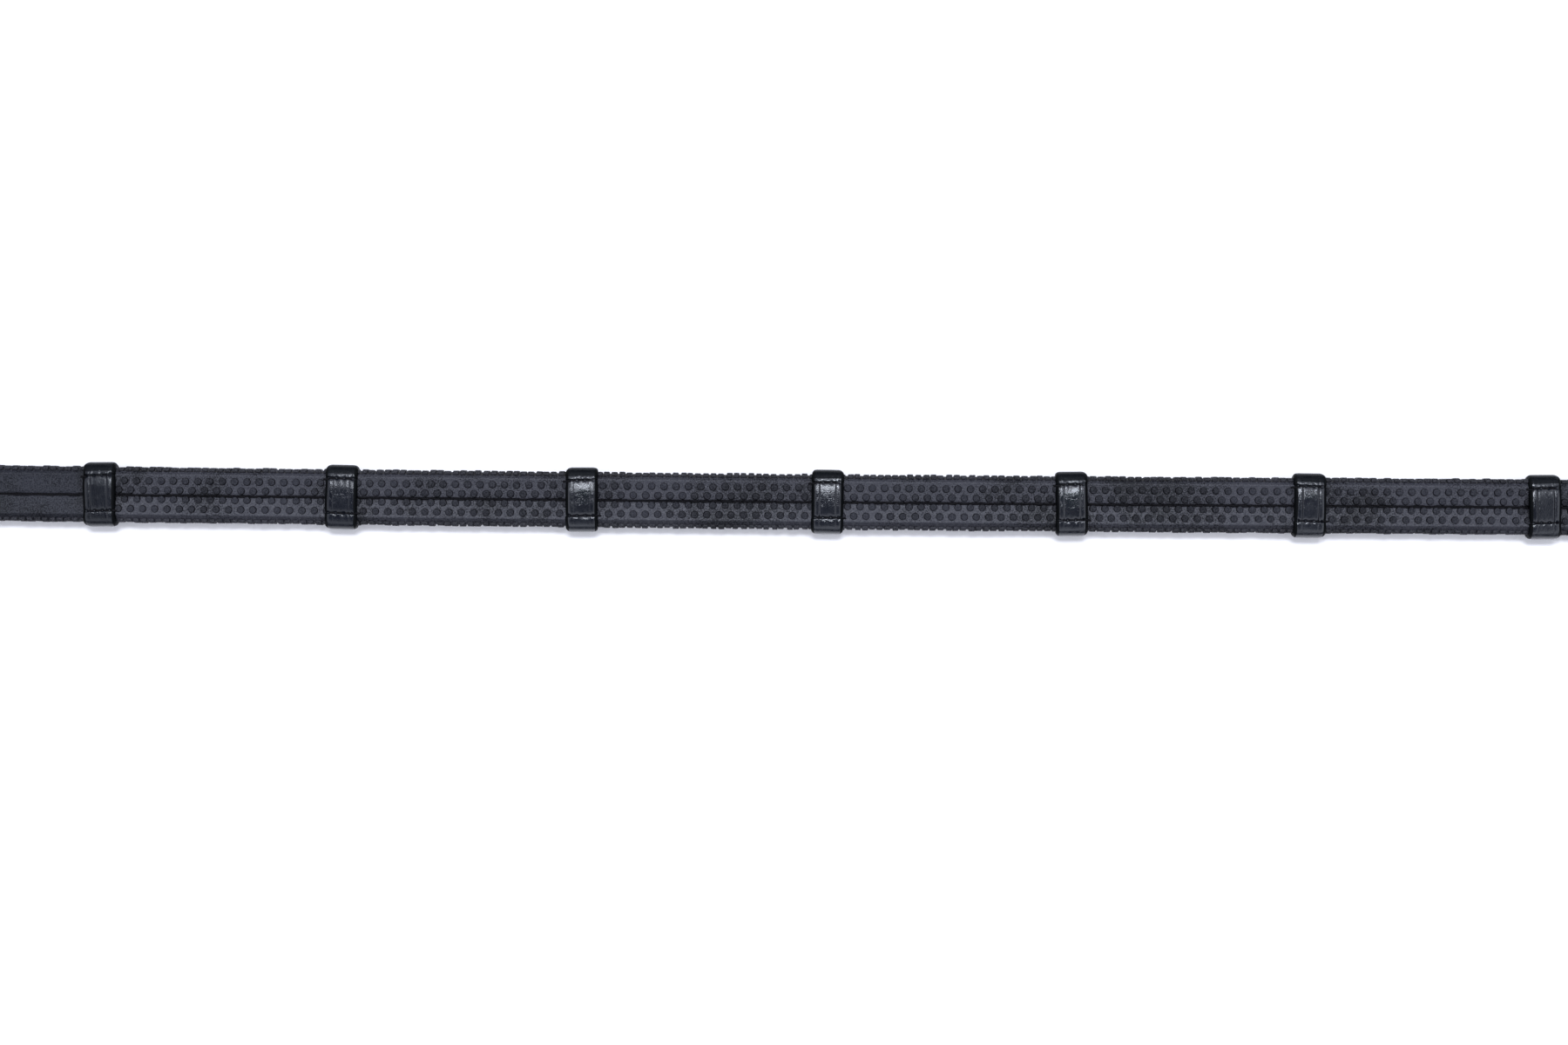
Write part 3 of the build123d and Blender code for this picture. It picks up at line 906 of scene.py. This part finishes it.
LOW_LINE = [
    (-10.80, 4.0),
    (-10.65, 2.6),
    (-10.0, 1.3),
    (-9.2, 0.45),
    (-8.2, 0.06),
    (-7.0, 0.0),
    (-6.5, 0.08),
    (-6.1, 0.34),
    (-5.7, 0.08),
    (-5.2, 0.0),
    (-2.6, 0.0),
    (0.0, 0.0),
    (2.6, 0.0),
    (5.2, 0.0),
    (5.7, 0.08),
    (6.1, 0.34),
    (6.5, 0.08),
    (7.0, 0.0),
    (8.2, 0.06),
    (9.2, 0.45),
    (10.0, 1.3),
    (10.5, 2.6),
    (10.65, 4.0),
]
ROW_HI, ROW_LO = 6.3, -5.4


def curved(points, per):
    """A Catmull-Rom line through the points, without its last point."""
    p = np.array([points[0]] + list(points) + [points[-1]], float)
    out = []
    for i in range(1, len(p) - 2):
        for t in np.linspace(0, 1, per, endpoint=False):
            a0, a1, a2, a3 = p[i - 1], p[i], p[i + 1], p[i + 2]
            out.append(
                0.5
                * (
                    2 * a1
                    + (a2 - a0) * t
                    + (2 * a0 - 5 * a1 + 4 * a2 - a3) * t * t
                    + (3 * a1 - a0 - 3 * a2 + a3) * t**3
                )
            )
    return out


def grid_noise(seed, size=64):
    """A field of smooth random values from -1 to 1 over a plane."""
    cells = np.random.default_rng(seed).uniform(-1, 1, (size, size))

    def at(u, v):
        i, j = math.floor(u), math.floor(v)
        f, g = u - i, v - j
        f, g = f * f * (3 - 2 * f), g * g * (3 - 2 * g)
        c = lambda a, b: cells[a % size, b % size]
        return (c(i, j) * (1 - f) + c(i + 1, j) * f) * (1 - g) + (c(i, j + 1) * (1 - f) + c(i + 1, j + 1) * f) * g

    return at


def bump1(t, centre, width):
    return math.exp(-(((t - centre) / width) ** 2))


HALF_STOP = 5.42
HOLES = (-4.15, -1.5, 1.15, 3.85)
EDGE_INSET = [(0.0, 1.35), (0.05, 1.02), (0.18, 0.72), (0.40, 0.46), (0.70, 0.26), (1.05, 0.10), (1.45, 0.02)]
stations_x = [(-HALF_STOP + d, inset) for d, inset in EDGE_INSET]
for px in [-3.75, -3.45, -3.15, -2.95, -2.82, -2.72, -2.62, -2.49, -2.25, -1.95, -1.65, -1.35, -1.05, -0.7, -0.35, 0.0]:
    stations_x.append((px, -0.02))
for px in [0.35, 0.7, 1.0, 1.3, 1.6, 1.9, 2.2, 2.49, 2.62, 2.72, 2.82, 2.95, 3.15, 3.45, 3.75]:
    stations_x.append((px, -0.02))
stations_x += [(HALF_STOP - d, inset) for d, inset in reversed(EDGE_INSET)]
top_pts, low_pts = curved(TOP_LINE, 2), curved(LOW_LINE, 2)
inner_ring = rounded_loop(9.0, 2.55, 1.0, per_side=1, per_corner=1)

stop_threads = Soup()
for number, (sx, turn) in enumerate(zip(STOP_X, STOP_TURN), 1):
    seed = 100 + number
    r = random.Random(seed)
    field = grid_noise(seed)
    ay = math.radians(turn)
    loop = top_pts + low_pts
    n = len(loop)
    wave_l, wave_r = smooth_noise(n, 9, seed + 50) * 0.12, smooth_noise(n, 9, seed + 80) * 0.12
    shift_hi, shift_lo = r.uniform(-0.18, 0.12), r.uniform(-0.12, 0.18)
    tilt_row = r.uniform(-0.03, 0.03)
    deep = r.uniform(0.85, 1.25)
    full = r.uniform(0.9, 1.12)

    def put(px, y, z):
        return (sx + px * math.cos(ay) - y * math.sin(ay), px * math.sin(ay) + y * math.cos(ay), z)

    def surface_ring(px, inset):
        ring = []
        for j, (y, z) in enumerate(loop):
            x = px + (wave_l[j] if px < 0 else wave_r[j]) * abs(px) / HALF_STOP
            top = j < len(top_pts)
            yy, zz = float(y), float(z)
            if top and abs(yy) < 9.3:
                yy += shift_hi * bump1(y, ROW_HI, 1.0) + shift_lo * bump1(y, ROW_LO, 1.0) + tilt_row * px * (abs(y) > 3)
                hole = sum(bump1(px, h, 0.42) for h in HOLES)
                mid_of = 1 - min(1.0, hole)
                row = bump1(y, ROW_HI, 0.55) + bump1(y, ROW_LO, 0.55)
                zz -= row * deep * (0.34 * hole - 0.04 * mid_of)
                # soft wrinkles that run into the stitch holes
                near_row = bump1(y, ROW_HI, 1.3) + bump1(y, ROW_LO, 1.0)
                zz += near_row * 0.15 * deep * field(px * 1.9 + 7, y * 0.7 + 3)
                zz += 0.03 * field(px * 0.9 + 31, y * 0.9 + 17)
                if abs(y) < 6.5:
                    zz += (full - 1) * 0.5 * max(0.0, 1 - (y / 6.5) ** 2)
                # the two creased lines
                for cx in (-2.72, 2.72):
                    zz -= STOP_CREASE[number - 1] * bump1(px, cx, 0.13) * (1.0 if -5.4 < y < 6.4 else 0.45)
            yy = yy * 1.008 + 0.06
            x *= 1 - 0.10 * max(0.0, 6.5 - zz) / 6.5
            steep = min(1.0, abs(yy) / 10.65)
            yy -= inset * 0.85 * (steep**6) * (1 if yy > 0 else -1)
            share = 1 - steep**8
            if top:
                zz -= inset * max(share, 0.25) * min(1.0, (zz - MID_Z) / 3.0)
            else:
                zz += inset * 0.6 * max(share, 0.25) * min(1.0, (MID_Z - zz) / 3.0)
            ring.append(put(x, yy, max(zz, 0.0)))
        return ring

    inner_loop = [
        (min(9.2, max(-9.2, float(y))) * 0.98, MID_Z + (2.6 if j < len(top_pts) else -2.6) * (1 - (min(1.0, abs(float(y)) / 10.65)) ** 10))
        for j, (y, z) in enumerate(loop)
    ]
    rings_ = [surface_ring(px, inset) for px, inset in stations_x]
    for px in (HALF_STOP - 0.12, -HALF_STOP + 0.12):
        rings_.append([put(px, y, z) for y, z in inner_loop])
    body = Soup()
    body.torus(rings_)
    m = len(stations_x)
    # The top strip beyond y = 7.8 takes the darker turn leather: painted shade.
    for ring_i in range(5, m - 6):
        for j in range(len(top_pts)):
            if top_pts[j][0] > 7.8:
                body.slots[ring_i * n + j] = 2
    # The side bands take the near-black edge leather: painted shade.
    for ring_i in list(range(0, 5)) + list(range(m - 6, m + 2)):
        for j in range(n):
            body.slots[ring_i * n + j] = 1
    # Stops 1 and 2 take the duller leather: painted shade.
    obj = body.build(f"hand_stop_{number}_leather", [stop_dull_painted_shade if number < 3 else stop_leather, stop_edge_painted_shade, stop_turn_painted_shade], "rein", angle=50, bend=True)
    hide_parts(f"hand_stop_{number}")

    for face in (1, -1):
        for row, shift in ((ROW_HI, shift_hi), (ROW_LO, shift_lo)):
            if face > 0:
                z, at = (7.46 if row > 0 else 7.58), row + shift
            else:
                z, at = 0.40, 6.1 * (1 if row > 0 else -1)
            for a, b in zip(HOLES, HOLES[1:]):
                lean = 0.24 + r.uniform(-0.12, 0.12)
                rr = capsule(
                    put(a + 0.10, at + lean, z),
                    put(b - 0.10, at - lean, z),
                    0.33 * r.uniform(0.9, 1.1),
                    sides=8,
                    dip=0.34 * face,
                )
                stop_threads.rings(rr)
    # the thread's ends, pulled down into the rubber beside the band
    for sgn, row in ((-1, ROW_HI + shift_hi - 0.35), (1, ROW_LO + shift_lo)):
        a = put(sgn * 3.9, row, 7.42 if sgn < 0 else 7.52)
        b = put(sgn * (HALF_STOP + 0.95 + r.uniform(-0.2, 0.45)), row - sgn * r.uniform(-0.5, 0.5), 6.42)
        mid1 = put(sgn * 5.0, row, 7.05)
        pts = np.array([a, mid1, put(sgn * 5.75, row, 6.72), b])
        t = np.linspace(0, 3, 24)
        fine = np.stack([np.interp(t, range(4), pts[:, k]) for k in range(3)], axis=1)
        for _ in range(4):
            fine[1:-1] = (fine[:-2] + 2 * fine[1:-1] + fine[2:]) / 4
        stop_threads.rings(tube_rings(fine, np.full(24, 0.34) * np.clip((1.04 - np.linspace(0, 1, 24)) * 5, 0.3, 1), 8))
stop_thread_obj = stop_threads.build("stop_stitches_thread", [thread], "rein", angle=60, bend=True)
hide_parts("stop_stitches")


# ------------------------------------------------------------------ keepers
def keeper(name, x0, x1, low, high, half_w, thick, body, top_bulge=0.0, seed=0, stitches=None, replaces=None, bottom_min=0.0):
    """A leather loop round the strap: low and high are the z it encloses."""
    mid, hh = (low + high) / 2, (high - low) / 2
    inner = rounded_loop(half_w, hh, 0.5, per_side=12, per_corner=4)
    outer = rounded_loop(half_w + thick, hh + thick, 1.5, per_side=12, per_corner=4)
    half = (x1 - x0) / 2
    prof = [(-1.0, 0.42), (-0.985, 0.22), (-0.93, 0.06), (-0.85, 0.0), (-0.74, 0.0), (-0.70, 0.10), (-0.66, 0.0), (-0.3, -0.03), (0.0, -0.04)]
    prof = prof + [(-t, d) for t, d in reversed(prof[:-1])]
    wave = smooth_noise(len(outer), 8, seed) * 0.08
    rings_ = []
    for t, inset in prof:
        ring = []
        for j, (y, z) in enumerate(outer):
            f = 1 - inset / (half_w + thick)
            g = 1 - inset / (hh + thick)
            zz = mid + z * g
            if z > 0:
                zz += top_bulge * max(0.0, 1 - (y / half_w) ** 2)
            ring.append(((x0 + x1) / 2 + half * t + wave[j], y * f, max(zz, bottom_min)))
        rings_.append(ring)
    for t in (0.96, -0.96):
        ring = []
        for j, (y, z) in enumerate(inner):
            zz = mid + z
            if z > 0:
                zz += top_bulge * max(0.0, 1 - (y / half_w) ** 2)
            ring.append(((x0 + x1) / 2 + half * t + wave[j], y, zz))
        rings_.append(ring)
    s = Soup()
    s.torus(rings_)
    k = len(outer)
    for ring_i in (0, 1, len(prof) - 3, len(prof) - 2, len(prof) - 1, len(prof) + 1):
        for j in range(k):
            s.slots[ring_i * k + j] = 1
    obj = s.build(name, [keeper_leather, edge_leather], body, angle=45)
    if replaces:
        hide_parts(replaces)
    return obj


bit_fixed = keeper("bit_fixed_keeper_leather", -361.5, -353.5, 4.5, 10.7, 8.02, 1.3, "rein", 0.15, 41, replaces="bit_fixed_keeper")
bit_run = keeper("bit_running_keeper_leather", -407.0, -399.0, 4.38, 10.85, 8.15, 1.25, "bit_keeper", 0.12, 42, replaces="bit_running_keeper")
buckle_fixed = keeper("buckle_fixed_keeper_leather", 498.0, 506.0, 1.12, 11.9, 8.06, 1.3, "rein", 0.0, 43, replaces="buckle_fixed_keeper")
buckle_run = keeper("buckle_running_keeper_leather", 483.0, 491.0, 1.08, 12.0, 8.2, 1.2, "buckle_keeper", 0.0, 44, replaces="buckle_running_keeper")

# stitching of the bit end's fixed keeper and of the turnback
kst = Soup()
for dx in (-2.0, 2.0):
    for y in (-6.0, -3.0, 0.0, 3.0):
        p = (-357.5 + dx, y + 0.25, 12.1)
        q = (-357.5 + dx + 0.25, y + 2.75, 12.1)
        kst.rings(capsule(p, q, 0.33, dip=0.3))
bit_keeper_st = kst.build("bit_keeper_stitches_thread", [thread], "rein", angle=60)
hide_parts("bit_keeper_stitches")
tst = Soup()
for x, z in ((476.4, 7.50),):
    for y in (-6.0, -3.0, 0.0, 3.0):
        tst.rings(capsule((x, y + 0.25, z + 0.10), (x + 0.3, y + 2.75, z + 0.10), 0.33, dip=0.22, flat=0.75))
turn_st = tst.build("turnback_stitches_thread", [thread], "rein", angle=60)
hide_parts("turnback_stitches")


# ------------------------------------------------------------------ ties of wound cord
def wound_tie(name, x, low, high, half_w, turns, seed, replaces):
    """Cord wound round the folded strap and knotted on top."""
    r = random.Random(seed)
    d = 1.1
    s = Soup()
    line = []
    per = 64
    pitch = d * 1.04
    hh = (high - low) / 2
    mid = (high + low) / 2
    loop = rounded_loop(half_w + d / 2, hh + d / 2, 1.3, per_side=10, per_corner=6)
    n = len(loop)
    # start on the top, at y = 0
    start = int(np.argmin(np.abs(loop[:, 0]) + (loop[:, 1] < 0) * 100))
    total = int(turns * n)
    for i in range(total + 1):
        y, z = loop[(start + i) % n]
        line.append((x - turns * pitch / 2 + pitch * i / n, y, mid + z))
    line = np.array(line)
    s.rings(tube_rings(line, d / 2 * 0.98, 10))
    # the knot and its two short ends
    top = high + d
    for sg in (1, -1):
        a = np.array(
            [
                (x - sg * turns * pitch / 2, 0.0, top - 0.4),
                (x - sg * 1.6, sg * 1.2, top + 0.3),
                (x + sg * 0.4, sg * 1.7, top + 0.9),
                (x + sg * 1.4, -sg * 0.2, top + 1.0),
                (x + sg * 0.2, -sg * 1.9, top + 0.5),
                (x - sg * 1.6, -sg * 2.4, top + 0.3),
                (x - sg * 3.6, -sg * 3.6, top + 0.1),
                (x - sg * 6.2, -sg * 4.4, top - 0.35),
                (x - sg * 8.2, -sg * 5.6, top - 0.75),
            ]
        )
        t = np.linspace(0, len(a) - 1, 60)
        fine = np.stack([np.interp(t, range(len(a)), a[:, k]) for k in range(3)], axis=1)
        for _ in range(12):
            fine[1:-1] = (fine[:-2] + 2 * fine[1:-1] + fine[2:]) / 4
        s.rings(tube_rings(fine, d / 2 * 0.95, 10))
    obj = s.build(name, [cord_mat], "rein", angle=60)
    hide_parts(replaces)
    return obj


bit_tie = wound_tie("bit_hank_tie_cord", -446.0, 1.14, 7.62, 8.1, 5, 5, "bit_hank_tie")
hand_tie = wound_tie("hand_hank_tie_cord", 373.0, 1.14, 10.95, 8.1, 5, 6, "hand_hank_tie")

# ------------------------------------------------------------------ metal
for name in ("buckle_frame", "buckle_tongue", "hook_stud", "stud_back_plate"):
    me = nodes[name].data
    me.materials.clear()
    me.materials.append(steel)
    me.polygons.foreach_set("use_smooth", [True] * len(me.polygons))
    me.set_sharp_from_angle(angle=math.radians(32))
nodes["grip_core"].data.materials.clear()
nodes["grip_core"].data.materials.append(flesh_leather)

# ------------------------------------------------------------------ floor and light
fm = bpy.data.materials.new("floor_white")
fm.use_nodes = True
fm.node_tree.nodes["Principled BSDF"].inputs["Base Color"].default_value = (0.92, 0.92, 0.93, 1)
fm.node_tree.nodes["Principled BSDF"].inputs["Roughness"].default_value = 0.9
fm.node_tree.nodes["Principled BSDF"].inputs["Specular IOR Level"].default_value = 0.1
floor_mesh = bpy.data.meshes.new("floor")
floor_mesh.from_pydata([(-4, -4, 0), (4, -4, 0), (4, 4, 0), (-4, 4, 0)], [], [(0, 1, 2, 3)])
floor_mesh.materials.append(fm)
floor = bpy.data.objects.new("floor", floor_mesh)
scene.collection.objects.link(floor)
floor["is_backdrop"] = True

world = bpy.data.worlds.new("world")
scene.world = world
world.use_nodes = True
wt = world.node_tree
bg = wt.nodes["Background"]
wco = wt.nodes.new("ShaderNodeTexCoord")
wsep = wt.nodes.new("ShaderNodeSeparateXYZ")
wt.links.new(wco.outputs["Generated"], wsep.inputs[0])
wt.links.new(
    ramp(
        wt,
        wsep.outputs["Z"],
        [
            (0.0, (0.03, 0.03, 0.035)),
            (0.28, (0.06, 0.06, 0.075)),
            (0.55, (0.88, 0.90, 1.0)),
            (0.82, (0.90, 0.92, 1.0)),
            (0.93, (0.20, 0.21, 0.25)),
            (1.0, (0.10, 0.105, 0.13)),
        ],
    ),
    bg.inputs["Color"],
)
bg.inputs["Strength"].default_value = 1.58


def area(name, location, target, size, size_y, power, colour):
    data = bpy.data.lights.new(name, "AREA")
    data.shape = "RECTANGLE"
    data.size, data.size_y = size, size_y
    data.energy = power
    data.color = colour
    o = bpy.data.objects.new(name, data)
    scene.collection.objects.link(o)
    o.location = location
    o.rotation_euler = (Vector(target) - Vector(location)).to_track_quat("-Z", "Y").to_euler()
    return o


area("key", (0.0, 0.90, 2.16), (0, 0, 0), 1.0, 0.5, 40.0, (0.91, 0.93, 1.0))

scene.view_settings.view_transform = "Standard"
scene.view_settings.look = "None"

# ------------------------------------------------------------------ sizes, for comparison
bpy.context.view_layer.update()
seen_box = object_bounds()
{"cad": [list(c) for c in cad_box], "visual": [list(c) for c in seen_box]}
